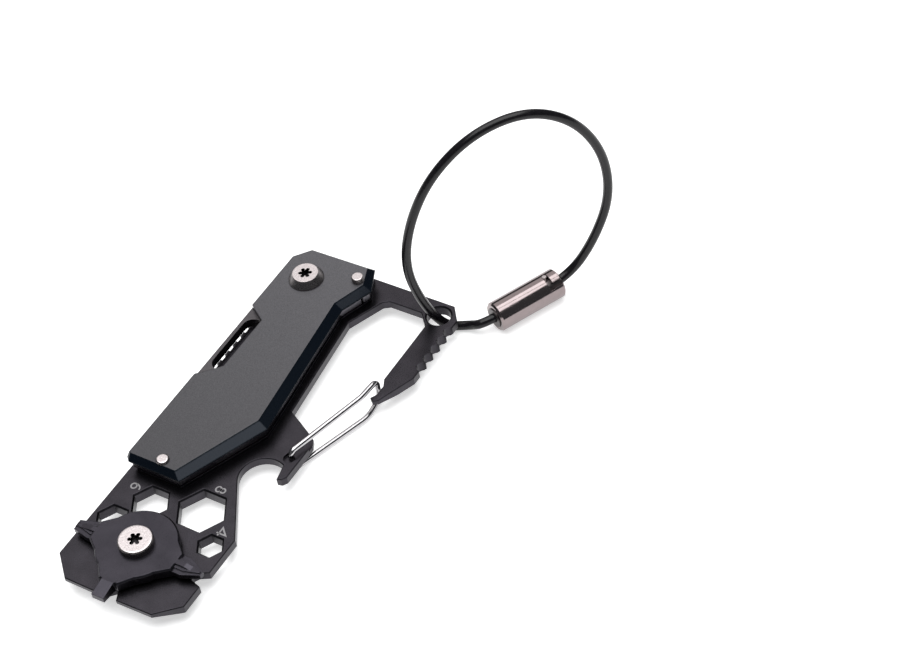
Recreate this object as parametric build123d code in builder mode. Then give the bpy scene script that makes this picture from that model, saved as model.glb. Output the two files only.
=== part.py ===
from build123d import *
import os
from math import cos, pi, radians, sin, tan

# Key organiser: a steel carabiner plate with a pry bar, hex wrenches, a bottle opener,
# a folding knife under a cover, a wheel of screwdriver bits, a wire gate and a cable ring.
# X runs along the tool from the pry bar to the cable eye, Y towards the side the blade
# opens from, Z up.  The table is Z = 0 and the tool stands on the heads of its barrels.

os.makedirs("parts", exist_ok=True)

# Heights of the stack, bottom to top
PLATE_BOTTOM = 2.0
PLATE_T = 2.2
PLATE_TOP = PLATE_BOTTOM + PLATE_T
LINER_T = 0.7
LINER_TOP = PLATE_TOP + LINER_T
WASHER_T = 0.1
BLADE_T = 1.8
BLADE_BOTTOM = LINER_TOP + WASHER_T
BLADE_TOP = BLADE_BOTTOM + BLADE_T
COVER_BOTTOM = BLADE_TOP + WASHER_T
COVER_T = 1.3
COVER_TOP = COVER_BOTTOM + COVER_T

# Plan positions
KNIFE_PIVOT = (34.8, 11.6)
FRONT_PIN_AT = (38.4, 2.3)
REAR_RIVET_AT = (-13.8, 10.5)
WHEEL_AT = (-30.3, 4.7)
EYE_AT = (40.0, -13.9)
GATE_PIVOT = (-0.7, -7.6)
HEX_HOLES = [((-17.9, 0.1), 8.1), ((-20.2, 9.6), 6.1), ((-26.2, 13.7), 5.1), ((-23.7, -5.8), 4.1)]
OPENER_CENTRE = (-7.0, -5.5)

# Sizes
FIT = 0.03
EDGE_BREAK = 0.3
EDGE_ROUND = 0.15
EYE_HOLE_R = 2.3
OPENER_R = 4.4
RIB_R = 1.12
RIB_DEPTH = 1.1
RIB_PITCH = 2.4
RIB_COUNT = 5
RIB_MID_X = 32.4
THUMB_NOTCHES = 5
THUMB_PITCH = 2.58
THUMB_MID_X = 16.7
THUMB_NOTCH_W = 1.5
THUMB_NOTCH_DEPTH = 0.5
WASHER_R = 4.2
TANG_R = 5.2
BARREL_R = 2.5
SHANK_R = 1.5
PIN_R = 0.9
WHEEL_R = 7.5
WHEEL_WASHER_T = 0.3
WHEEL_T = 2.1
WHEEL_BOTTOM = PLATE_TOP + WHEEL_WASHER_T
WHEEL_TOP = WHEEL_BOTTOM + WHEEL_T
WIRE_R = 0.55
WIRE_LIFT = 1.15
CABLE_R = 0.9
CLASP_R = 2.95
FERRULE_R = 1.9


def on_circle(centre, radius, degrees):
    """A point on a circle in plan."""
    return (centre[0] + radius * cos(radians(degrees)), centre[1] + radius * sin(radians(degrees)))


def six_lobe_recess(at, top, across, depth):
    """Cut a six-lobed driver recess down from the height top."""
    with BuildSketch(Plane.XY.offset(top)) as recess:
        with Locations(at):
            Circle(across * 0.30)
            with PolarLocations(across * 0.36, 6):
                Circle(across * 0.14)
    extrude(recess.sketch, amount=-depth, mode=Mode.SUBTRACT)


# ---------------------------------------------------------------- carabiner plate
PRY_X = -40.6
TOP_Y = 17.7
END_X = 43.3
RIB_Y = -17.8
LEG_DROP = -15.7  # direction of the closed gate in plan, degrees
LOWER_BEVEL = 0.5
UPPER_BEVEL = 0.15

with BuildPart() as carabiner_plate:
    with BuildSketch(Plane.XY.offset(PLATE_BOTTOM)):
        with BuildLine():
            arc_start = on_circle(OPENER_CENTRE, OPENER_R, -25)
            arc_end = on_circle(OPENER_CENTRE, OPENER_R, 122.5)
            rim = Polyline(
                arc_end, (-20.8, -9.1), (-28.6, -9.1), (-29.6, -7.4), (-30.4, -6.9), (-31.2, -7.1),
                (-31.8, -9.2), (-36.5, -9.2), (PRY_X + 0.2, -5.0), (PRY_X, 2.3), (-38.4, 3.3),
                (PRY_X, 4.9), (PRY_X, 13.4), (-36.5, TOP_Y), (39.4, TOP_Y), (END_X, 14.6),
                (END_X, -15.4), (40.2, RIB_Y), (24.6, RIB_Y), (17.3, -14.8), (16.5, -13.9),
                (17.2, -13.0), (18.3, -13.6), (20.6, -13.7), (22.2, -12.9), (36.7, -12.9),
                (39.3, -10.5), (39.3, -3.6), (38.5, -2.4), (31.3, 0.7), (8.3, -1.8),
                (4.6, -8.8), (3.2, -9.5), (-5.1, -9.5), (-6.0, -8.9), (-6.2, -8.0), arc_start,
            )
            ThreePointArc(arc_start, on_circle(OPENER_CENTRE, OPENER_R, 50), arc_end)
        make_face()
    extrude(amount=PLATE_T)
    chamfer(faces().sort_by(Axis.Z)[0].edges(), LOWER_BEVEL)
    chamfer(faces().sort_by(Axis.Z)[-1].edges(), UPPER_BEVEL)
    with BuildSketch(Plane.XY.offset(PLATE_BOTTOM)):
        with Locations((RIB_MID_X, RIB_Y + RIB_DEPTH - RIB_R)):
            with GridLocations(RIB_PITCH, 1, RIB_COUNT, 1):
                Circle(RIB_R)
        with Locations((THUMB_MID_X, TOP_Y)):
            with GridLocations(THUMB_PITCH, 1, THUMB_NOTCHES, 1):
                Rectangle(THUMB_NOTCH_W, 2 * THUMB_NOTCH_DEPTH)
    extrude(amount=PLATE_T, mode=Mode.SUBTRACT)
    # The pry bar thins to its edge from underneath
    with BuildSketch(Plane.XZ):
        with BuildLine():
            Polyline((-34.5, PLATE_BOTTOM), (-42.0, PLATE_BOTTOM), (-42.0, PLATE_BOTTOM + 1.6), close=True)
        make_face()
    extrude(amount=30, both=True, mode=Mode.SUBTRACT)
    # The nose thins towards its tip from underneath, where the gate closes on it
    with BuildSketch(Plane.XZ.offset(8)):
        with BuildLine():
            Polyline((24.0, PLATE_BOTTOM), (15.0, PLATE_BOTTOM), (15.0, PLATE_BOTTOM + 1.5), close=True)
        make_face()
    extrude(amount=12, mode=Mode.SUBTRACT)
    # Hex wrenches, cable eye and the barrel holes
    for centre, across in HEX_HOLES:
        with BuildSketch(Plane.XY.offset(PLATE_BOTTOM)):
            with Locations(centre):
                RegularPolygon(across / 2, 6, major_radius=False, rotation=30)
        extrude(amount=PLATE_T, mode=Mode.SUBTRACT)
    with Locations((*EYE_AT, PLATE_TOP)):
        Hole(EYE_HOLE_R, PLATE_T)
    chamfer(faces().sort_by(Axis.Z)[-1].inner_wires().edges(), EDGE_BREAK)
    with Locations((*KNIFE_PIVOT, PLATE_TOP), (*WHEEL_AT, PLATE_TOP)):
        Hole(BARREL_R + FIT, PLATE_T)
    with Locations((*FRONT_PIN_AT, PLATE_TOP), (*REAR_RIVET_AT, PLATE_TOP)):
        Hole(PIN_R + FIT, PLATE_T)
    # A pocket on each face takes the gate's ends, and one hole is their pivot
    for face_z, way in ((PLATE_TOP, -1), (PLATE_BOTTOM, 1)):
        with BuildSketch(Plane.XY.offset(face_z)):
            with Locations(on_circle(GATE_PIVOT, 2.9, LEG_DROP)):
                SlotOverall(9.0, 2.2, rotation=LEG_DROP)
        extrude(amount=way * 0.6, mode=Mode.SUBTRACT)
    with Locations((*GATE_PIVOT, PLATE_TOP)):
        Hole(WIRE_R + 0.05, PLATE_T)
carabiner_plate.part.label = "carabiner_plate"
export_step(carabiner_plate.part, "parts/carabiner_plate.step")

# ---------------------------------------------------------------- knife handle
with BuildPart() as knife_liner:
    with BuildSketch(Plane.XY.offset(PLATE_TOP)):
        with BuildLine():
            Polyline(
                (-15.5, 6.0), (1.0, -1.5), (31.4, 2.0), (37.8, -0.5), (42.5, 1.7), (42.2, 14.8),
                (39.4, 16.2), (-15.0, 16.2), (-15.5, 15.7), close=True,
            )
        make_face()
    extrude(amount=LINER_T)
    with Locations((*KNIFE_PIVOT, LINER_TOP)):
        Hole(BARREL_R + FIT, LINER_T)
    with Locations((*FRONT_PIN_AT, LINER_TOP), (*REAR_RIVET_AT, LINER_TOP)):
        Hole(PIN_R + FIT, LINER_T)
knife_liner.part.label = "knife_liner"
export_step(knife_liner.part, "parts/knife_liner.step")

with BuildPart() as back_spring:
    with BuildSketch(Plane.XY.offset(LINER_TOP)):
        with BuildLine():
            Polyline(
                (-15.3, 6.3), (1.1, -1.1), (31.4, 2.3), (36.0, 0.5), (36.0, 5.4), (30.6, 6.2),
                (0.5, 6.4), (-5.5, 7.9), (-10.9, 12.2), (-10.9, 16.7), (-15.3, 16.7), close=True,
            )
        make_face()
    extrude(amount=COVER_BOTTOM - LINER_TOP)
    with Locations((*REAR_RIVET_AT, COVER_BOTTOM)):
        Hole(PIN_R + FIT, COVER_BOTTOM - LINER_TOP)
back_spring.part.label = "back_spring"
export_step(back_spring.part, "parts/back_spring.step")

with BuildPart() as front_spacer:
    with BuildSketch(Plane.XY.offset(LINER_TOP)):
        with BuildLine():
            Polyline((36.4, 0.3), (37.8, -0.3), (42.2, 1.8), (42.2, 4.2), (36.4, 4.2), close=True)
        make_face()
        with Locations(FRONT_PIN_AT):
            Circle(PIN_R + FIT, mode=Mode.SUBTRACT)
    extrude(amount=COVER_BOTTOM - LINER_TOP)
front_spacer.part.label = "front_spacer"
export_step(front_spacer.part, "parts/front_spacer.step")

COVER_LIP = 0.2
with BuildPart() as cover_scale:
    outer_outline = [
        (-16.0, 5.7), (0.9, -1.9), (31.4, 1.6), (37.8, -0.9), (42.9, 1.5),
        (42.6, 15.2), (39.2, 17.65), (-15.2, 17.65), (-16.0, 16.8),
    ]
    face_outline = [
        (-15.0, 7.0), (1.3, -0.1), (31.6, 3.1), (37.9, 0.7), (42.0, 2.3),
        (41.8, 14.9), (38.8, 17.4), (-14.6, 17.4), (-15.0, 16.9),
    ]
    with BuildSketch(Plane.XY.offset(COVER_BOTTOM)):
        with BuildLine():
            Polyline(*outer_outline, close=True)
        make_face()
    extrude(amount=COVER_LIP)
    with BuildSketch(Plane.XY.offset(COVER_BOTTOM + COVER_LIP)):
        with BuildLine():
            Polyline(*outer_outline, close=True)
        make_face()
    with BuildSketch(Plane.XY.offset(COVER_TOP - EDGE_ROUND)):
        with BuildLine():
            Polyline(*face_outline, close=True)
        make_face()
    loft(ruled=True)
    with BuildSketch(Plane.XY.offset(COVER_TOP - EDGE_ROUND)):
        with BuildLine():
            Polyline(*face_outline, close=True)
        make_face()
    with BuildSketch(Plane.XY.offset(COVER_TOP)):
        with BuildLine():
            Polyline(*face_outline, close=True)
        make_face()
        offset(amount=-EDGE_ROUND, kind=Kind.INTERSECTION)
    loft(ruled=True)
    with BuildSketch(Plane.XY.offset(COVER_BOTTOM)):
        with BuildLine():
            Polyline((4.6, 18.5), (7.0, 15.9), (9.6, 13.4), (22.2, 13.4), (25.6, 18.5), close=True)
        make_face()
    extrude(amount=COVER_T, mode=Mode.SUBTRACT)
    with Locations((*KNIFE_PIVOT, COVER_TOP)):
        Hole(BARREL_R + FIT, COVER_T)
    with Locations((*FRONT_PIN_AT, COVER_TOP), (*REAR_RIVET_AT, COVER_TOP)):
        Hole(PIN_R + FIT, COVER_T)
cover_scale.part.label = "cover_scale"
export_step(cover_scale.part, "parts/cover_scale.step")

# ---------------------------------------------------------------- blade, closed
SPINE_Y = 17.8
EDGE_Y = 7.4
GRIND_Y = 11.4
GRIND_DEPTH = 0.8
with BuildPart() as knife_blade:
    with BuildSketch(Plane.XY.offset(BLADE_BOTTOM)):
        with BuildLine():
            Polyline(
                (-9.6, 13.6), (-2.6, SPINE_Y), (29.2, SPINE_Y), (33.0, 16.6), (34.8, 14.0), (33.6, 8.0),
                (30.4, 8.2), (28.6, 9.0), (27.2, EDGE_Y), (1.0, EDGE_Y),
            )
            ThreePointArc((1.0, EDGE_Y), (-5.8, 9.4), (-9.6, 13.6))
        make_face()
        with Locations(KNIFE_PIVOT):
            Circle(TANG_R)
            Circle(BARREL_R + FIT, mode=Mode.SUBTRACT)
        with Locations((16.1, 15.05)):
            SlotOverall(13.7, 4.0, mode=Mode.SUBTRACT)
    extrude(amount=BLADE_T)
    # Both faces are ground down to the edge
    with BuildSketch(Plane.YZ.offset(-12)):
        for face, way in ((BLADE_TOP, -1), (BLADE_BOTTOM, 1)):
            with BuildLine():
                Polyline(
                    (EDGE_Y - 0.1, face), (GRIND_Y, face), (EDGE_Y - 0.1, face + way * GRIND_DEPTH),
                    close=True,
                )
            make_face()
    extrude(amount=37.5, mode=Mode.SUBTRACT)
knife_blade.part.label = "knife_blade"
export_step(knife_blade.part, "parts/knife_blade.step")

with BuildPart() as lower_blade_washer:
    with BuildSketch(Plane.XY.offset(LINER_TOP)):
        with Locations(KNIFE_PIVOT):
            Circle(WASHER_R)
            Circle(BARREL_R + FIT, mode=Mode.SUBTRACT)
    extrude(amount=WASHER_T)
lower_blade_washer.part.label = "lower_blade_washer"
export_step(lower_blade_washer.part, "parts/lower_blade_washer.step")

with BuildPart() as upper_blade_washer:
    with BuildSketch(Plane.XY.offset(BLADE_TOP)):
        with Locations(KNIFE_PIVOT):
            Circle(WASHER_R)
            Circle(BARREL_R + FIT, mode=Mode.SUBTRACT)
    extrude(amount=WASHER_T)
upper_blade_washer.part.label = "upper_blade_washer"
export_step(upper_blade_washer.part, "parts/upper_blade_washer.step")

# ---------------------------------------------------------------- knife fasteners
PIVOT_RIM_T = 0.3
PIVOT_HEAD_TOP = COVER_TOP + 1.6
with BuildPart() as pivot_barrel:
    with Locations((*KNIFE_PIVOT, 0)):
        Cylinder(3.5, PLATE_BOTTOM, align=(Align.CENTER, Align.CENTER, Align.MIN))
        Cylinder(BARREL_R, COVER_TOP - 0.1, align=(Align.CENTER, Align.CENTER, Align.MIN))
    chamfer(edges().filter_by(GeomType.CIRCLE).group_by(Axis.Z)[0], 0.4)
    with Locations((*KNIFE_PIVOT, COVER_TOP - 0.1)):
        Hole(SHANK_R + FIT, COVER_TOP - 0.1 - 1.2)
pivot_barrel.part.label = "pivot_barrel"
export_step(pivot_barrel.part, "parts/pivot_barrel.step")

with BuildPart() as pivot_screw:
    with Locations((*KNIFE_PIVOT, COVER_TOP)):
        Cylinder(3.35, PIVOT_RIM_T, align=(Align.CENTER, Align.CENTER, Align.MIN))
    with Locations((*KNIFE_PIVOT, COVER_TOP + PIVOT_RIM_T)):
        Cone(3.35, 2.45, PIVOT_HEAD_TOP - COVER_TOP - PIVOT_RIM_T, align=(Align.CENTER, Align.CENTER, Align.MIN))
    with Locations((*KNIFE_PIVOT, COVER_TOP)):
        Cylinder(SHANK_R, 6.0, align=(Align.CENTER, Align.CENTER, Align.MAX))
    six_lobe_recess(KNIFE_PIVOT, PIVOT_HEAD_TOP, 2.6, 1.1)
pivot_screw.part.label = "pivot_screw"
export_step(pivot_screw.part, "parts/pivot_screw.step")

with BuildPart() as front_pin:
    with Locations((*FRONT_PIN_AT, PLATE_BOTTOM)):
        Cylinder(PIN_R, COVER_TOP - PLATE_BOTTOM, align=(Align.CENTER, Align.CENTER, Align.MIN))
        Cylinder(1.4, 0.4, align=(Align.CENTER, Align.CENTER, Align.MAX))
    with Locations((*FRONT_PIN_AT, COVER_TOP)):
        Cylinder(1.15, 1.15, align=(Align.CENTER, Align.CENTER, Align.MIN))
    fillet(edges().filter_by(GeomType.CIRCLE).group_by(Axis.Z)[-1], 0.25)
front_pin.part.label = "front_pin"
export_step(front_pin.part, "parts/front_pin.step")

with BuildPart() as rear_rivet:
    with Locations((*REAR_RIVET_AT, PLATE_BOTTOM)):
        Cylinder(PIN_R, COVER_TOP - PLATE_BOTTOM, align=(Align.CENTER, Align.CENTER, Align.MIN))
        Cylinder(1.4, 0.4, align=(Align.CENTER, Align.CENTER, Align.MAX))
    with Locations((*REAR_RIVET_AT, COVER_TOP)):
        Cylinder(1.25, 0.5, align=(Align.CENTER, Align.CENTER, Align.MIN))
    fillet(edges().filter_by(GeomType.CIRCLE).group_by(Axis.Z)[-1], 0.4)
rear_rivet.part.label = "rear_rivet"
export_step(rear_rivet.part, "parts/rear_rivet.step")

# ---------------------------------------------------------------- bit wheel
BIT_MID = (WHEEL_BOTTOM + WHEEL_TOP) / 2
BIT_HALF = 1.9
FIN = 1.0
SHANK_FROM = 6.0
SHOULDER_TO = 8.8
WHEEL_BEVEL = 0.3
CONE_L = 3.3  # length of a cross-point's tapered tip
# Heading in plan in degrees, reach from the wheel's centre, tip as a share of the shank
CROSS_BITS = [(93.5, 12.6, 0.55), (269.5, 13.8, 0.22)]
SLOTTED_BIT = (181.0, 12.0, 0.5)


def bit_plane(heading):
    """A level plane through the wheel with its x along a bit."""
    direction = (cos(radians(heading)), sin(radians(heading)), 0)
    return Plane(origin=(*WHEEL_AT, BIT_MID), x_dir=direction)


def on_edge(level):
    """The upright plane through the same bit."""
    return Plane(origin=level.origin, x_dir=level.x_dir, z_dir=level.y_dir)


def tapered_bar(plane, straight_to, reach, half, tip, thickness):
    """A bar from the wheel that keeps its width and then tapers to its tip."""
    with BuildSketch(plane) as outline:
        with BuildLine():
            Polyline(
                (SHANK_FROM, half), (straight_to, half), (reach, tip), (reach, -tip),
                (straight_to, -half), (SHANK_FROM, -half), close=True,
            )
        make_face()
    extrude(outline.sketch, amount=thickness / 2, both=True)


with BuildPart() as bit_wheel:
    # Each bit grows out of a shoulder on the disc
    with BuildSketch(Plane.XY.offset(WHEEL_BOTTOM)):
        with Locations(WHEEL_AT):
            Circle(WHEEL_R)
        for heading, reach, tip in CROSS_BITS + [SLOTTED_BIT]:
            with Locations(Location((*WHEEL_AT, 0), (0, 0, heading))):
                Polygon(
                    (5.8, 4.4), (SHOULDER_TO, BIT_HALF), (SHOULDER_TO, -BIT_HALF), (5.8, -4.4), align=None,
                )
    extrude(amount=WHEEL_T)
    chamfer(faces().sort_by(Axis.Z)[-1].edges() + faces().sort_by(Axis.Z)[0].edges(), WHEEL_BEVEL)
    # Two bits are cross-points: crossed fins on a core
    for heading, reach, tip in CROSS_BITS:
        level = bit_plane(heading)
        cone_from = reach - CONE_L
        tapered_bar(level, cone_from, reach, BIT_HALF, tip * BIT_HALF, FIN)
        tapered_bar(on_edge(level), cone_from, reach, WHEEL_T / 2, tip * WHEEL_T / 2, FIN)
        tapered_bar(level, cone_from, reach - 0.3, 1.1, 0.2, WHEEL_T * 0.7)
    # The third is slotted: flat, thinning to its edge
    heading, reach, tip = SLOTTED_BIT
    tapered_bar(on_edge(bit_plane(heading)), SHOULDER_TO, reach, WHEEL_T / 2, tip * WHEEL_T / 2, 2.5)
    with Locations((*WHEEL_AT, WHEEL_TOP)):
        Hole(BARREL_R + 0.05, WHEEL_T)
bit_wheel.part.label = "bit_wheel"
export_step(bit_wheel.part, "parts/bit_wheel.step")

with BuildPart() as wheel_washer:
    with BuildSketch(Plane.XY.offset(PLATE_TOP)):
        with Locations(WHEEL_AT):
            Circle(4.6)
            Circle(BARREL_R + FIT, mode=Mode.SUBTRACT)
    extrude(amount=WHEEL_WASHER_T)
wheel_washer.part.label = "wheel_washer"
export_step(wheel_washer.part, "parts/wheel_washer.step")

with BuildPart() as wheel_barrel:
    with Locations((*WHEEL_AT, 0)):
        Cylinder(4.0, PLATE_BOTTOM, align=(Align.CENTER, Align.CENTER, Align.MIN))
        Cylinder(BARREL_R, WHEEL_TOP + 0.05, align=(Align.CENTER, Align.CENTER, Align.MIN))
    chamfer(edges().filter_by(GeomType.CIRCLE).group_by(Axis.Z)[0], 0.4)
    with Locations((*WHEEL_AT, WHEEL_TOP + 0.05)):
        Hole(SHANK_R + FIT, WHEEL_TOP + 0.05 - 1.2)
wheel_barrel.part.label = "wheel_barrel"
export_step(wheel_barrel.part, "parts/wheel_barrel.step")

WHEEL_HEAD_BOTTOM = WHEEL_TOP + 0.05
WHEEL_HEAD_T = 1.3
with BuildPart() as wheel_screw:
    with Locations((*WHEEL_AT, WHEEL_HEAD_BOTTOM)):
        Cylinder(3.2, WHEEL_HEAD_T, align=(Align.CENTER, Align.CENTER, Align.MIN))
    fillet(edges().filter_by(GeomType.CIRCLE).group_by(Axis.Z)[-1], 0.35)
    with Locations((*WHEEL_AT, WHEEL_HEAD_BOTTOM)):
        Cylinder(SHANK_R, 4.8, align=(Align.CENTER, Align.CENTER, Align.MAX))
    six_lobe_recess(WHEEL_AT, WHEEL_HEAD_BOTTOM + WHEEL_HEAD_T, 2.7, 1.0)
wheel_screw.part.label = "wheel_screw"
export_step(wheel_screw.part, "parts/wheel_screw.step")

# ---------------------------------------------------------------- wire gate, closed
UPPER_KNEE = (15.6, -12.2)
LOWER_KNEE = (15.4, -13.2)
GATE_END = (20.3, -12.6)
LEG_TOP = PLATE_TOP + WIRE_LIFT
LEG_BOTTOM = PLATE_BOTTOM - WIRE_LIFT
WIRE_INTO = 0.85  # how deep each end of the wire goes into the plate
with BuildPart() as wire_gate:
    with BuildLine():
        FilletPolyline(
            (*GATE_PIVOT, PLATE_TOP - WIRE_INTO), (*GATE_PIVOT, LEG_TOP), (*UPPER_KNEE, LEG_TOP),
            (*GATE_END, LEG_TOP), (*GATE_END, LEG_BOTTOM), (*LOWER_KNEE, LEG_BOTTOM),
            (*GATE_PIVOT, LEG_BOTTOM), (*GATE_PIVOT, PLATE_BOTTOM + WIRE_INTO),
            radius=[1.1, 6, 1.2, 1.2, 6, 1.1],
        )
    with BuildSketch(Plane(origin=(*GATE_PIVOT, PLATE_TOP - WIRE_INTO), z_dir=(0, 0, 1))):
        Circle(WIRE_R)
    sweep()
wire_gate.part.label = "wire_gate"
export_step(wire_gate.part, "parts/wire_gate.step")

# ---------------------------------------------------------------- cable ring
# The ring stands in an upright plane through the eye, and the clasp lies on the table beside it.
RING_HEADING = -40.7  # direction of the ring's plane in plan, degrees
CLASP_FIXED_END = Vector(44.8, -23.1, 3.0)
CLASP_OPEN_END = Vector(57.7, -29.3, 3.0)
CLASP_AXIS = (CLASP_OPEN_END - CLASP_FIXED_END).normalized()
CLASP_L = (CLASP_OPEN_END - CLASP_FIXED_END).length
CABLE_SINK = 3.0  # how far each end of the cable goes into its ferrule
CABLE_EXIT = 2.6  # how far it runs straight out of the clasp


def on_ring(along, height):
    """A point in the ring's plane, measured along it from the eye."""
    return Vector(*on_circle(EYE_AT, along, RING_HEADING), height)


cable_route = [
    CLASP_FIXED_END + CLASP_AXIS * CABLE_SINK,
    CLASP_FIXED_END - CLASP_AXIS * CABLE_EXIT,
    Vector(42.7, -18.6, 1.0),
    Vector(40.6, -14.4, 0.9),
    on_ring(-3.0, 9.8),
    on_ring(-4.6, 19.6),
    on_ring(-2.2, 29.6),
    on_ring(3.0, 38.6),
    on_ring(11.4, 45.0),
    on_ring(21.4, 46.4),
    on_ring(29.8, 41.2),
    on_ring(34.8, 31.6),
    on_ring(35.4, 20.4),
    on_ring(31.4, 10.6),
    CLASP_OPEN_END + CLASP_AXIS * CABLE_EXIT,
    CLASP_OPEN_END - CLASP_AXIS * CABLE_SINK,
]


def bend_radii(route):
    """The largest arc that fits each corner of a route."""
    radii = []
    for before, corner, after in zip(route, route[1:], route[2:]):
        arriving = corner - before
        leaving = after - corner
        turn = arriving.get_angle(leaving)
        shorter = min(arriving.length, leaving.length)
        radii.append(0.45 * shorter / tan(radians(turn / 2)))
    return radii


cable_radii = bend_radii(cable_route)
print("cable runs ", [round((b - a).length, 1) for a, b in zip(cable_route, cable_route[1:])])
print("cable radii", [round(radius, 1) for radius in cable_radii])

with BuildPart() as ring_cable:
    with BuildLine() as cable_path:
        FilletPolyline(*cable_route, radius=cable_radii)
    cable_start = cable_path.wires()[0]
    with BuildSketch(Plane(origin=cable_start @ 0, z_dir=cable_start % 0)):
        Circle(CABLE_R)
    sweep()
cable_length = sum(edge.length for edge in cable_path.edges())
print("cable length", round(cable_length, 1))
print("cable volume", round(ring_cable.part.volume, 2), "of", round(pi * CABLE_R**2 * cable_length, 2))
ring_cable.part.label = "ring_cable"
export_step(ring_cable.part, "parts/ring_cable.step")

ENTRY_FROM_TOP = 45  # the bayonet's way in, degrees round the sleeve from its top
FERRULE_L = 5.5
FERRULE_PROUD = 0.2
BAYONET_PIN_R = 0.45
PIN_FROM_END = 2.6
TRACK_W = 1.1
TRACK_SWEEP = 80
PIN_ANGLE = 14
ENTRY_ANGLE = TRACK_SWEEP - PIN_ANGLE
track_start = Vector(0, 0, 1).rotate(Axis((0, 0, 0), CLASP_AXIS), ENTRY_FROM_TOP - ENTRY_ANGLE)
CLASP_PLANE = Plane(origin=CLASP_FIXED_END, x_dir=track_start, z_dir=CLASP_AXIS)

with BuildPart() as clasp_sleeve:
    with BuildSketch(CLASP_PLANE):
        Circle(CLASP_R)
        Circle(FERRULE_R + 0.05, mode=Mode.SUBTRACT)
    extrude(amount=CLASP_L)
    chamfer(edges().filter_by(GeomType.CIRCLE).filter_by(lambda e: e.radius > CLASP_R - 0.1), 0.35)
    # Bayonet track: in from the open end, then round the sleeve to where the pin rests
    track_inner = CLASP_R - 1.2
    track_outer = CLASP_R + 1.0
    with BuildSketch(CLASP_PLANE.offset(CLASP_L - PIN_FROM_END - TRACK_W / 2)):
        with BuildLine():
            CenterArc((0, 0), track_outer, 0, TRACK_SWEEP)
            CenterArc((0, 0), track_inner, 0, TRACK_SWEEP)
            Line((track_inner, 0), (track_outer, 0))
            Line(on_circle((0, 0), track_inner, TRACK_SWEEP), on_circle((0, 0), track_outer, TRACK_SWEEP))
        make_face()
    extrude(amount=TRACK_W, mode=Mode.SUBTRACT)
    with BuildSketch(CLASP_PLANE.offset(CLASP_L - PIN_FROM_END)):
        with Locations(on_circle((0, 0), CLASP_R, ENTRY_ANGLE)):
            Rectangle(2.2, TRACK_W, rotation=ENTRY_ANGLE)
    extrude(amount=PIN_FROM_END, mode=Mode.SUBTRACT)
clasp_sleeve.part.label = "clasp_sleeve"
export_step(clasp_sleeve.part, "parts/clasp_sleeve.step")

with BuildPart() as fixed_ferrule:
    with BuildSketch(CLASP_PLANE.offset(-FERRULE_PROUD)):
        Circle(FERRULE_R)
    extrude(amount=FERRULE_L)
    with BuildSketch(CLASP_PLANE.offset(-FERRULE_PROUD)):
        Circle(CABLE_R + 0.02)
    extrude(amount=CABLE_SINK + FERRULE_PROUD, mode=Mode.SUBTRACT)
fixed_ferrule.part.label = "fixed_ferrule"
export_step(fixed_ferrule.part, "parts/fixed_ferrule.step")

pin_direction = CLASP_PLANE.x_dir.rotate(Axis((0, 0, 0), CLASP_AXIS), PIN_ANGLE)
pin_base = CLASP_FIXED_END + CLASP_AXIS * (CLASP_L - PIN_FROM_END)
PIN_SOCKET = 1.2  # how far from the axis the bayonet pin's root sits
with BuildPart() as bayonet_ferrule:
    with BuildSketch(CLASP_PLANE.offset(CLASP_L + FERRULE_PROUD)):
        Circle(FERRULE_R)
    extrude(amount=-FERRULE_L)
    with BuildSketch(CLASP_PLANE.offset(CLASP_L + FERRULE_PROUD)):
        Circle(CABLE_R + 0.02)
    extrude(amount=-CABLE_SINK - FERRULE_PROUD, mode=Mode.SUBTRACT)
    with BuildSketch(Plane(origin=pin_base + pin_direction * PIN_SOCKET, z_dir=pin_direction)):
        Circle(BAYONET_PIN_R + 0.02)
    extrude(amount=CLASP_R, mode=Mode.SUBTRACT)
bayonet_ferrule.part.label = "bayonet_ferrule"
export_step(bayonet_ferrule.part, "parts/bayonet_ferrule.step")

with BuildPart() as bayonet_pin:
    with BuildSketch(Plane(origin=pin_base + pin_direction * PIN_SOCKET, z_dir=pin_direction)):
        Circle(BAYONET_PIN_R)
    extrude(amount=CLASP_R - PIN_SOCKET - 0.1)
bayonet_pin.part.label = "bayonet_pin"
export_step(bayonet_pin.part, "parts/bayonet_pin.step")
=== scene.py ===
from math import cos, pi, radians, sin

import bmesh
import bpy
from mathutils import Matrix, Vector


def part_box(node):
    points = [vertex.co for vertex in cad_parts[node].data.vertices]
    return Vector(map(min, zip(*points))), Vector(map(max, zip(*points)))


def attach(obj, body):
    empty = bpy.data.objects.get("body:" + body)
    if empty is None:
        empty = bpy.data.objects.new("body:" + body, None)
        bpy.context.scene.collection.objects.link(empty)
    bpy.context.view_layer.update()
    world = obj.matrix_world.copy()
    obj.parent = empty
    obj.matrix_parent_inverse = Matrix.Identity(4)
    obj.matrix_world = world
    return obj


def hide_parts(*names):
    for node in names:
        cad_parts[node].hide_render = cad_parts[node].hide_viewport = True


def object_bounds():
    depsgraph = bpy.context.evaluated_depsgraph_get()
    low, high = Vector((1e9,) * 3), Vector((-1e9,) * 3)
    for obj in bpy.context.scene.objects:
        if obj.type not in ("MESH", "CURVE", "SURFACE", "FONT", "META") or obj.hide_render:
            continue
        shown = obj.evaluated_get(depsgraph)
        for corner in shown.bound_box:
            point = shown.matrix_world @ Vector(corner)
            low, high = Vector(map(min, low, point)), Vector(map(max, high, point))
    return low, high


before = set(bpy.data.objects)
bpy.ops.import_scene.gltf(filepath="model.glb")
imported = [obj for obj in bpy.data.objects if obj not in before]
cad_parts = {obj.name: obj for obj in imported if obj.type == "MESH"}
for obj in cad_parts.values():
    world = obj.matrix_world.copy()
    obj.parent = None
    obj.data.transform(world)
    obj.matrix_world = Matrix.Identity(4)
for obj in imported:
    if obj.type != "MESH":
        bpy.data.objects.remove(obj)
cad_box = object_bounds()

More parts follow.
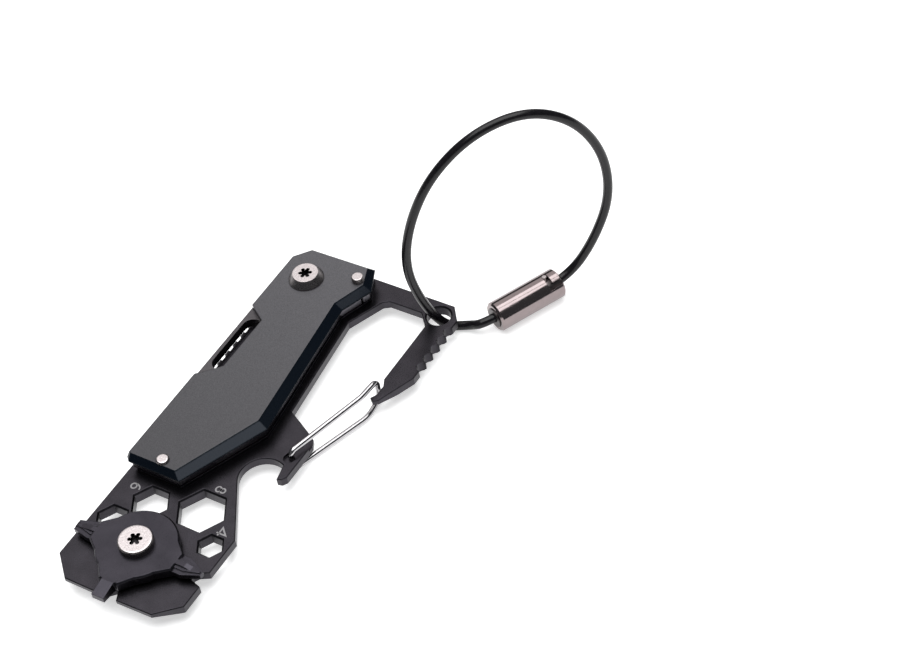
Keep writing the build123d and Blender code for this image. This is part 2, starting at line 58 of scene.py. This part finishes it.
MM = 0.001
scene = bpy.context.scene
scene.view_settings.view_transform = "Standard"


# ---------------------------------------------------------------- camera
HEADING = radians(52)  # the view's direction in plan, clockwise from +Y
ELEVATION = radians(46.24)
ROLL = radians(-9.89)
DISTANCE = 435.06 * MM
AIM = Vector((35.6, -18.3, 4.2)) * MM
LENS = 94.63
SENSOR = 36.0
SHIFT = (0.0035, 0.0054)

forward = Vector((sin(HEADING) * cos(ELEVATION), cos(HEADING) * cos(ELEVATION), -sin(ELEVATION)))
level_right = Vector((cos(HEADING), -sin(HEADING), 0))
level_up = level_right.cross(forward)
right = level_right * cos(ROLL) + level_up * sin(ROLL)
up = level_up * cos(ROLL) - level_right * sin(ROLL)

camera_data = bpy.data.cameras.new("camera")
camera_data.lens = LENS
camera_data.sensor_width = SENSOR
camera_data.shift_x, camera_data.shift_y = SHIFT
camera_data.clip_start = 0.01
camera_data.dof.use_dof = False
camera = bpy.data.objects.new("camera", camera_data)
place = Matrix((right, up, -forward)).transposed().to_4x4()
place.translation = AIM - forward * DISTANCE
camera.matrix_world = place
scene.collection.objects.link(camera)
scene.camera = camera


# ---------------------------------------------------------------- cable
CABLE_D = 1.8 * MM
CABLE_SINK = 3.0 * MM  # how far each end of the cable goes into its ferrule
CABLE_EXIT = 2.6 * MM  # how far outside its ferrule the next point of the route lies
EYE = (40.0, -13.9)
RING_HEADING = radians(-40.7)  # direction of the ring's plane in plan
clasp_fixed_end = Vector((44.8, -23.1, 3.0)) * MM
clasp_open_end = Vector((57.7, -29.3, 3.0)) * MM
clasp_axis = (clasp_open_end - clasp_fixed_end).normalized()


def on_ring(along, height):
    """A point in the ring's plane, in millimetres along it from the eye."""
    return Vector((EYE[0] + along * cos(RING_HEADING), EYE[1] + along * sin(RING_HEADING), height)) * MM


cable_route = [
    clasp_fixed_end + clasp_axis * CABLE_SINK,
    clasp_fixed_end - clasp_axis * CABLE_EXIT,
    Vector((42.7, -18.6, 1.0)) * MM,
    Vector((40.6, -14.4, 0.9)) * MM,
    on_ring(-3.0, 9.8),
    on_ring(-4.6, 19.6),
    on_ring(-2.2, 29.6),
    on_ring(3.0, 38.6),
    on_ring(11.4, 45.0),
    on_ring(21.4, 46.4),
    on_ring(29.8, 41.2),
    on_ring(34.8, 31.6),
    on_ring(35.4, 20.4),
    on_ring(31.4, 10.6),
    clasp_open_end + clasp_axis * CABLE_EXIT,
    clasp_open_end - clasp_axis * CABLE_SINK,
]


def smooth_line(name, route):
    """A curve object that follows a route of points."""
    curve = bpy.data.curves.new(name, "CURVE")
    curve.dimensions = "3D"
    curve.resolution_u = 16
    curve.bevel_resolution = 8
    curve.use_fill_caps = True
    line = curve.splines.new("NURBS")
    line.points.add(len(route) - 1)
    for point, at in zip(line.points, route):
        point.co = (*at, 1)
    line.order_u = 3
    line.use_endpoint_u = True
    return bpy.data.objects.new(name, curve)


def tube_along(guide, diameter):
    """A capped tube as a mesh, and its centreline as points.

    A curve's own bounding box is not tight, so the tube is a mesh."""
    centre = bpy.data.meshes.new_from_object(guide)  # without a bevel it is the centreline alone
    path = [vertex.co.copy() for vertex in centre.vertices]
    bpy.data.meshes.remove(centre)
    guide.data.bevel_depth = diameter / 2
    tube = bpy.data.meshes.new_from_object(guide)
    weld = bmesh.new()
    weld.from_mesh(tube)
    bmesh.ops.remove_doubles(weld, verts=weld.verts, dist=0.001 * MM)
    bmesh.ops.recalc_face_normals(weld, faces=weld.faces)
    for face in weld.faces:
        face.smooth = len(face.verts) == 4
    weld.to_mesh(tube)
    weld.free()
    return tube, path


guide = smooth_line("cable_line", cable_route)
cable_mesh, cable_path = tube_along(guide, CABLE_D)
cable_mesh.name = "cable"
guide_curve = guide.data
bpy.data.objects.remove(guide)
bpy.data.curves.remove(guide_curve)
cable = bpy.data.objects.new("cable", cable_mesh)
scene.collection.objects.link(cable)
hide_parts("ring_cable")
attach(cable, "ring")


# ---------------------------------------------------------------- materials
RING_SCALE = 312.5  # a wave texture's scale, which puts its rings about 1 mm apart
STEEL = (0.66, 0.61, 0.61)
BARREL_STEEL = (0.42, 0.40, 0.41)
DARK_STEEL = (0.10, 0.09, 0.09)
BRONZE = (0.62, 0.42, 0.2)
# Painted shade for the inside of a screw's driver recess
RECESS_PAINTED_SHADE = (0.03, 0.028, 0.03)
# Colour of the cover's glossy bevels: blue-black, darker than the face partly as painted shade
BEVEL_BLUE_BLACK_AND_PAINTED_SHADE = (0.003, 0.006, 0.011)


class Material:
    """A node material with a principled shader and helpers that add to it."""

    def __init__(self, name, base, metallic, roughness, **sockets):
        self.data = bpy.data.materials.new(name)
        self.data.use_nodes = True
        self.tree = self.data.node_tree
        self.shader = self.tree.nodes["Principled BSDF"]
        self.shader.inputs["Base Color"].default_value = (*base, 1)
        self.shader.inputs["Metallic"].default_value = metallic
        self.shader.inputs["Roughness"].default_value = roughness
        for socket, value in sockets.items():
            self.shader.inputs[socket.replace("_", " ")].default_value = value
        self.coordinates = self.add("ShaderNodeTexCoord")
        self.normal = None

    def add(self, kind, **settings):
        node = self.tree.nodes.new(kind)
        for name, value in settings.items():
            setattr(node, name, value)
        return node

    def link(self, output, socket):
        self.tree.links.new(output, socket)

    def noise(self, scale, detail=3.0, stretch=(1, 1, 1)):
        """Noise over the object, scale in features per millimetre."""
        mapping = self.add("ShaderNodeMapping")
        mapping.inputs["Scale"].default_value = stretch
        self.link(self.coordinates.outputs["Object"], mapping.inputs["Vector"])
        texture = self.add("ShaderNodeTexNoise")
        texture.inputs["Scale"].default_value = scale / MM
        texture.inputs["Detail"].default_value = detail
        self.link(mapping.outputs["Vector"], texture.inputs["Vector"])
        return texture.outputs["Fac"]

    def rings(self, centre):
        """Faint turned rings about an upright axis through centre."""
        mapping = self.add("ShaderNodeMapping")
        mapping.inputs["Location"].default_value = (-centre[0], -centre[1], 0)
        mapping.inputs["Scale"].default_value = (1, 1, 0)
        self.link(self.coordinates.outputs["Object"], mapping.inputs["Vector"])
        wave = self.add("ShaderNodeTexWave", wave_type="RINGS", rings_direction="SPHERICAL")
        wave.inputs["Scale"].default_value = RING_SCALE
        wave.inputs["Distortion"].default_value = 1.5
        wave.inputs["Detail"].default_value = 3
        self.link(mapping.outputs["Vector"], wave.inputs["Vector"])
        return wave.outputs["Fac"]

    def axis_of(self, output, axis):
        """One axis of the object's own coordinates or normals."""
        split = self.add("ShaderNodeSeparateXYZ")
        self.link(self.coordinates.outputs[output], split.inputs["Vector"])
        return split.outputs[axis]

    def ranged(self, value, low, high, start=0.0, end=1.0, **settings):
        """A number that goes from low to high as value goes from start to end."""
        span = self.add("ShaderNodeMapRange", **settings)
        span.inputs["From Min"].default_value = start
        span.inputs["From Max"].default_value = end
        span.inputs["To Min"].default_value = low
        span.inputs["To Max"].default_value = high
        self.link(value, span.inputs["Value"])
        return span.outputs["Result"]

    def spread(self, value, low, high, socket):
        """Drive a number socket from low to high by a texture."""
        self.link(self.ranged(value, low, high, 0.3, 0.7), self.shader.inputs[socket])

    def ramp(self, value, dark, light, start=0.3, end=0.7):
        """A colour that goes from dark to light as value goes from start to end."""
        ramp = self.add("ShaderNodeValToRGB")
        for element, position, colour in zip(ramp.color_ramp.elements, (start, end), (dark, light)):
            element.position = position
            element.color = (*colour, 1)
        self.link(value, ramp.inputs["Fac"])
        return ramp.outputs["Color"]

    def scaled(self, colour, factor):
        """A colour times a number that varies."""
        product = self.add("ShaderNodeVectorMath", operation="SCALE")
        self.link(colour, product.inputs["Vector"])
        self.link(factor, product.inputs["Scale"])
        return product.outputs["Vector"]

    def blend(self, factor, first, second):
        """A mix of two colours; each is an output or a constant."""
        mix = self.add("ShaderNodeMix", data_type="RGBA")
        self.link(factor, mix.inputs["Factor"])
        for socket, colour in (("A", first), ("B", second)):
            if isinstance(colour, tuple):
                mix.inputs[socket].default_value = (*colour, 1)
            else:
                self.link(colour, mix.inputs[socket])
        return mix.outputs["Result"]

    def paint(self, colour):
        self.link(colour, self.shader.inputs["Base Color"])

    def less(self, value, limit):
        """1 where value is below limit and 0 elsewhere."""
        test = self.add("ShaderNodeMath", operation="LESS_THAN")
        self.link(value, test.inputs[0])
        test.inputs[1].default_value = limit
        return test.outputs["Value"]

    def product(self, first, second):
        multiply = self.add("ShaderNodeMath", operation="MULTIPLY")
        self.link(first, multiply.inputs[0])
        self.link(second, multiply.inputs[1])
        return multiply.outputs["Value"]

    def distance_from(self, centre):
        """Distance from an upright axis through centre, in metres."""
        offset = self.add("ShaderNodeVectorMath", operation="SUBTRACT")
        offset.inputs[1].default_value = (centre[0], centre[1], 0)
        self.link(self.coordinates.outputs["Object"], offset.inputs[0])
        flat = self.add("ShaderNodeVectorMath", operation="MULTIPLY")
        flat.inputs[1].default_value = (1, 1, 0)
        self.link(offset.outputs["Vector"], flat.inputs[0])
        length = self.add("ShaderNodeVectorMath", operation="LENGTH")
        self.link(flat.outputs["Vector"], length.inputs[0])
        return length.outputs["Value"]

    def soften(self, radius):
        """Round the look of sharp edges, radius in millimetres."""
        bevel = self.add("ShaderNodeBevel", samples=6)
        bevel.inputs["Radius"].default_value = radius * MM
        self.normal = bevel.outputs["Normal"]
        self.link(self.normal, self.shader.inputs["Normal"])

    def bump(self, value, height, strength=1.0):
        """Relief from a texture, height in millimetres."""
        relief = self.add("ShaderNodeBump")
        relief.inputs["Distance"].default_value = height * MM
        relief.inputs["Strength"].default_value = strength
        self.link(value, relief.inputs["Height"])
        if self.normal is not None:
            self.link(self.normal, relief.inputs["Normal"])
        self.normal = relief.outputs["Normal"]
        self.link(self.normal, self.shader.inputs["Normal"])


def black_oxide(name, dark, light, roughness):
    """Satin black plated steel, a little cloudy."""
    material = Material(name, light, 1.0, roughness)
    material.paint(material.ramp(material.noise(0.25, 4), dark, light))
    grain = material.noise(9, 2)
    material.spread(grain, roughness - 0.05, roughness + 0.06, "Roughness")
    material.soften(0.12)
    material.bump(grain, 0.004, 0.5)
    return material.data


def satin_steel(name, base, roughness, stretch=(1, 1, 1)):
    """Satin metal; a stretch below 1 draws its grain out along that axis."""
    material = Material(name, base, 1.0, roughness)
    streak = material.noise(6, 3, stretch)
    material.spread(streak, roughness - 0.07, roughness + 0.08, "Roughness")
    material.paint(material.ramp(material.noise(1.2, 3), [0.86 * c for c in base], base))
    material.soften(0.08)
    material.bump(streak, 0.003, 0.4)
    return material.data


def turned_steel(name, base, node, recess_across=0.0):
    """A screw, pin or barrel with painted shade on its sloped sides; recess_across is its driver recess, in
    millimetres, which gets painted shade inside.
    """
    roughness = 0.3
    low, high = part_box(node)
    centre = (low + high) / 2
    material = Material(name, base, 1.0, roughness)
    rings = material.rings(centre)
    colour = material.ramp(material.noise(3, 3), [0.82 * c for c in base], base)
    # Painted shade: where the surface slopes away from upright, the colour drops to as little as 0.3 of
    # itself
    shade = material.ranged(material.axis_of("Normal", "Z"), 0.3, 1.0, 0.80, 0.95)
    colour = material.scaled(colour, shade)
    if recess_across:
        # Painted shade: inside the driver recess, below the head's top, the colour turns near black
        within = material.less(material.distance_from(centre), (recess_across / 2 + 0.05) * MM)
        sunk = material.less(material.axis_of("Object", "Z"), high.z - 0.06 * MM)
        colour = material.blend(material.product(within, sunk), colour, RECESS_PAINTED_SHADE)
    material.paint(colour)
    material.spread(material.noise(8, 2), roughness - 0.08, roughness + 0.1, "Roughness")
    material.soften(0.1)
    material.bump(rings, 0.006, 0.5)
    return material.data


def cover_finish(name):
    """Fine-grained matt face, with painted light that makes it lighter towards the pivot, and glossy bevels
    round it whose blue-black colour is partly painted shade.
    """
    material = Material(name, (0.08, 0.08, 0.085), 0.4, 0.5)
    normal_z = material.axis_of("Normal", "Z")
    is_face = material.ranged(normal_z, 0.0, 1.0, 0.93, 0.99, interpolation_type="SMOOTHSTEP")
    grain = material.noise(7, 2)
    face = material.ramp(grain, (0.048, 0.047, 0.052), (0.086, 0.084, 0.091), 0.25, 0.75)
    # Painted light: the face's colour grows from 0.85 to 1.35 times itself along X, lighter towards the pivot
    painted_light_gradient = material.ranged(material.axis_of("Object", "X"), 0.85, 1.35, -15 * MM, 42 * MM)
    # Sloped bevels take the blue-black colour, partly painted shade; the flat face takes its grain with the
    # painted light
    material.paint(material.blend(is_face, BEVEL_BLUE_BLACK_AND_PAINTED_SHADE, material.scaled(face, painted_light_gradient)))
    material.link(material.ranged(is_face, 0.24, 0.52), material.shader.inputs["Roughness"])
    material.link(material.ranged(is_face, 0.22, 0.5), material.shader.inputs["Specular IOR Level"])
    material.soften(0.3)
    material.bump(material.product(grain, is_face), 0.02, 0.6)
    return material.data


def polished(name, base, roughness):
    """Bright drawn or turned metal with very faint streaks."""
    material = Material(name, base, 1.0, roughness)
    streak = material.noise(3, 3, (0.3, 0.3, 1))
    material.spread(streak, roughness - 0.03, roughness + 0.05, "Roughness")
    material.paint(material.ramp(material.noise(0.8, 2), [0.94 * c for c in base], base))
    material.soften(0.06)
    material.bump(streak, 0.001, 0.3)
    return material.data


def cable_coat(name):
    """Smooth black nylon, faintly uneven."""
    material = Material(name, (0.005, 0.005, 0.006), 0.0, 0.22, Specular_IOR_Level=0.28)
    material.paint(material.ramp(material.noise(0.9, 3), (0.004, 0.004, 0.005), (0.008, 0.007, 0.009)))
    skin = material.noise(3.5, 3)
    material.spread(skin, 0.18, 0.28, "Roughness")
    material.bump(skin, 0.003, 0.5)
    return material.data


def engraving(name):
    """Pale matt marks on the black plate."""
    material = Material(name, (0.30, 0.29, 0.30), 0.1, 0.6)
    material.paint(material.ramp(material.noise(12, 3), (0.20, 0.195, 0.20), (0.36, 0.35, 0.36)))
    material.bump(material.noise(20, 2), 0.004, 0.6)
    return material.data


finishes = {
    "carabiner_plate": black_oxide("plate_finish", (0.034, 0.032, 0.037), (0.045, 0.042, 0.049), 0.30),
    "knife_liner": black_oxide("liner_finish", (0.022, 0.021, 0.026), (0.032, 0.030, 0.036), 0.36),
    "back_spring": satin_steel("spring_finish", (0.13, 0.125, 0.14), 0.36, (0.2, 1, 1)),
    "front_spacer": satin_steel("spacer_finish", (0.15, 0.145, 0.16), 0.36),
    "cover_scale": cover_finish("cover_finish"),
    "knife_blade": satin_steel("blade_finish", (0.10, 0.095, 0.10), 0.36, (1, 0.15, 1)),
    "lower_blade_washer": satin_steel("bronze_lower", BRONZE, 0.35),
    "upper_blade_washer": satin_steel("bronze_upper", BRONZE, 0.35),
    "wheel_washer": satin_steel("bronze_wheel", BRONZE, 0.35),
    "pivot_barrel": turned_steel("pivot_barrel_finish", BARREL_STEEL, "pivot_barrel"),
    "wheel_barrel": turned_steel("wheel_barrel_finish", BARREL_STEEL, "wheel_barrel"),
    "pivot_screw": turned_steel("pivot_screw_finish", STEEL, "pivot_screw", recess_across=2.6),
    "wheel_screw": turned_steel("wheel_screw_finish", STEEL, "wheel_screw", recess_across=2.7),
    "front_pin": turned_steel("front_pin_finish", STEEL, "front_pin"),
    "rear_rivet": turned_steel("rear_rivet_finish", STEEL, "rear_rivet"),
    "bit_wheel": black_oxide("wheel_finish", (0.036, 0.034, 0.041), (0.048, 0.045, 0.054), 0.32),
    "wire_gate": polished("gate_finish", (0.46, 0.45, 0.46), 0.10),
    "clasp_sleeve": polished("clasp_finish", (0.25, 0.21, 0.21), 0.11),
    "fixed_ferrule": satin_steel("fixed_ferrule_finish", DARK_STEEL, 0.35),
    "bayonet_ferrule": satin_steel("bayonet_ferrule_finish", DARK_STEEL, 0.35),
    "bayonet_pin": satin_steel("bayonet_pin_finish", (0.55, 0.50, 0.50), 0.25),
}
for node, finish in finishes.items():
    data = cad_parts[node].data
    if not data.materials:
        data.materials.append(finish)
    for index in range(len(data.materials)):
        data.materials[index] = finish
cable_mesh.materials.clear()
cable_mesh.materials.append(cable_coat("cable_coat"))


# ---------------------------------------------------------------- wrench sizes on the plate
DIGIT_HEIGHT = 1.9 * MM
STROKE = 0.28 * MM
DIGIT_DEPTH = 0.03 * MM
SHARPEST_CORNER = 0.35  # a stroke widens at a corner by no more than one over this
SAME_POINT = 1e-5  # as a share of the digit's height
plate_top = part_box("carabiner_plate")[1].z
engraved = engraving("engraving")


def arc(cx, cy, rx, ry, start, end, steps=28):
    """Points on an ellipse, in shares of the digit's height, angles in degrees."""
    turn = [radians(start + (end - start) * i / steps) for i in range(steps + 1)]
    return [Vector((cx + rx * cos(a), cy + ry * sin(a))) for a in turn]


# Strokes of each digit, in shares of its height, about its middle
DIGITS = {
    "4": [[Vector((0.2, -0.5)), Vector((0.2, 0.5)), Vector((-0.48, -0.24)), Vector((0.48, -0.24))]],
    "6": [arc(0, -0.2, 0.30, 0.28, 0, 360), arc(0.14, -0.12, 0.45, 0.62, 178, 82)],
    "8": [arc(0, 0.24, 0.26, 0.24, 0, 360), arc(0, -0.24, 0.31, 0.26, 0, 360)],
}


def ribbon(mesh, points):
    """A flat stroke of even width along a line of points."""
    closed = (points[0] - points[-1]).length < SAME_POINT
    sides = []
    for i, at in enumerate(points):
        before = points[i - 1] if i > 0 else (points[-2] if closed else at)
        after = points[i + 1] if i < len(points) - 1 else (points[1] if closed else at)
        along = (after - before).normalized()
        corner = 1.0
        if before != at and after != at:
            corner = max(SHARPEST_CORNER, ((at - before).normalized() + (after - at).normalized()).length / 2)
        across = Vector((-along.y, along.x)) * STROKE / (2 * DIGIT_HEIGHT * corner)
        sides.append([mesh.verts.new((*(at + across * s), 0)) for s in (1, -1)])
    for (a, b), (c, d) in zip(sides, sides[1:]):
        mesh.faces.new((a, b, d, c))


def digit(text, x, y):
    """A generic wrench size, upside down in plan, its middle at x, y in millimetres."""
    mesh = bmesh.new()
    for points in DIGITS[text]:
        ribbon(mesh, points)
    bmesh.ops.remove_doubles(mesh, verts=mesh.verts, dist=SAME_POINT)
    slab = bmesh.ops.extrude_face_region(mesh, geom=list(mesh.faces))
    raised = [v for v in slab["geom"] if isinstance(v, bmesh.types.BMVert)]
    bmesh.ops.translate(mesh, verts=raised, vec=(0, 0, DIGIT_DEPTH / DIGIT_HEIGHT))
    turn = Matrix.Translation((x * MM, y * MM, plate_top - DIGIT_DEPTH / 2)) @ Matrix.Rotation(pi, 4, "Z")
    bmesh.ops.transform(mesh, matrix=turn @ Matrix.Scale(DIGIT_HEIGHT, 4), verts=mesh.verts)
    bmesh.ops.recalc_face_normals(mesh, faces=mesh.faces)
    data = bpy.data.meshes.new("size_" + text)
    mesh.to_mesh(data)
    mesh.free()
    data.materials.append(engraved)
    piece = bpy.data.objects.new("size_" + text, data)
    scene.collection.objects.link(piece)
    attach(piece, "handle")


digit("6", -18.5, 14.1)
digit("8", -12.6, -0.4)
digit("4", -20.4, -6.1)


# ---------------------------------------------------------------- stage and light
floor_mesh = bmesh.new()
bmesh.ops.create_grid(floor_mesh, x_segments=1, y_segments=1, size=3.0)
floor_data = bpy.data.meshes.new("floor")
floor_mesh.to_mesh(floor_data)
floor_mesh.free()
floor = bpy.data.objects.new("floor", floor_data)
floor.location = (cad_box[0] + cad_box[1]) / 2
floor.location.z = 0
scene.collection.objects.link(floor)
# The floor glows a little, so that the shadows on it stay faint
paper = Material("paper", (0.90, 0.90, 0.90), 0.0, 0.9, Specular_IOR_Level=0.1, Emission_Strength=0.55)
paper.shader.inputs["Emission Color"].default_value = (1, 1, 1, 1)
paper.paint(paper.ramp(paper.noise(0.02, 2), (0.895, 0.895, 0.895), (0.905, 0.905, 0.905)))
floor_data.materials.append(paper.data)

world = bpy.data.worlds.new("studio")
world.use_nodes = True
world.node_tree.nodes["Background"].inputs["Color"].default_value = (0.90, 0.95, 1.0, 1)
world.node_tree.nodes["Background"].inputs["Strength"].default_value = 0.12
scene.world = world


def softbox(name, at, towards, size, radiance, colour=(1, 1, 1)):
    """A rectangular area light whose face has the given brightness."""
    data = bpy.data.lights.new(name, "AREA")
    data.shape = "RECTANGLE"
    data.size, data.size_y = size
    data.energy = radiance * pi * size[0] * size[1]
    data.color = colour
    light = bpy.data.objects.new(name, data)
    light.location = at
    light.rotation_euler = (Vector(towards) - Vector(at)).to_track_quat("-Z", "Y").to_euler()
    scene.collection.objects.link(light)


middle_of_tool = Vector((0.01, 0.0, 0.0))
plan_forward = Vector((sin(HEADING), cos(HEADING), 0))
overhead = middle_of_tool + plan_forward * 0.05 + Vector((0, 0, 1.1))
softbox("overhead", overhead, middle_of_tool, (1.2, 1.2), 3.6)
behind = middle_of_tool + plan_forward * 0.95 + Vector((0, 0, 0.85))
softbox("behind", behind, middle_of_tool, (1.4, 0.7), 1.0, (1.0, 0.96, 0.95))
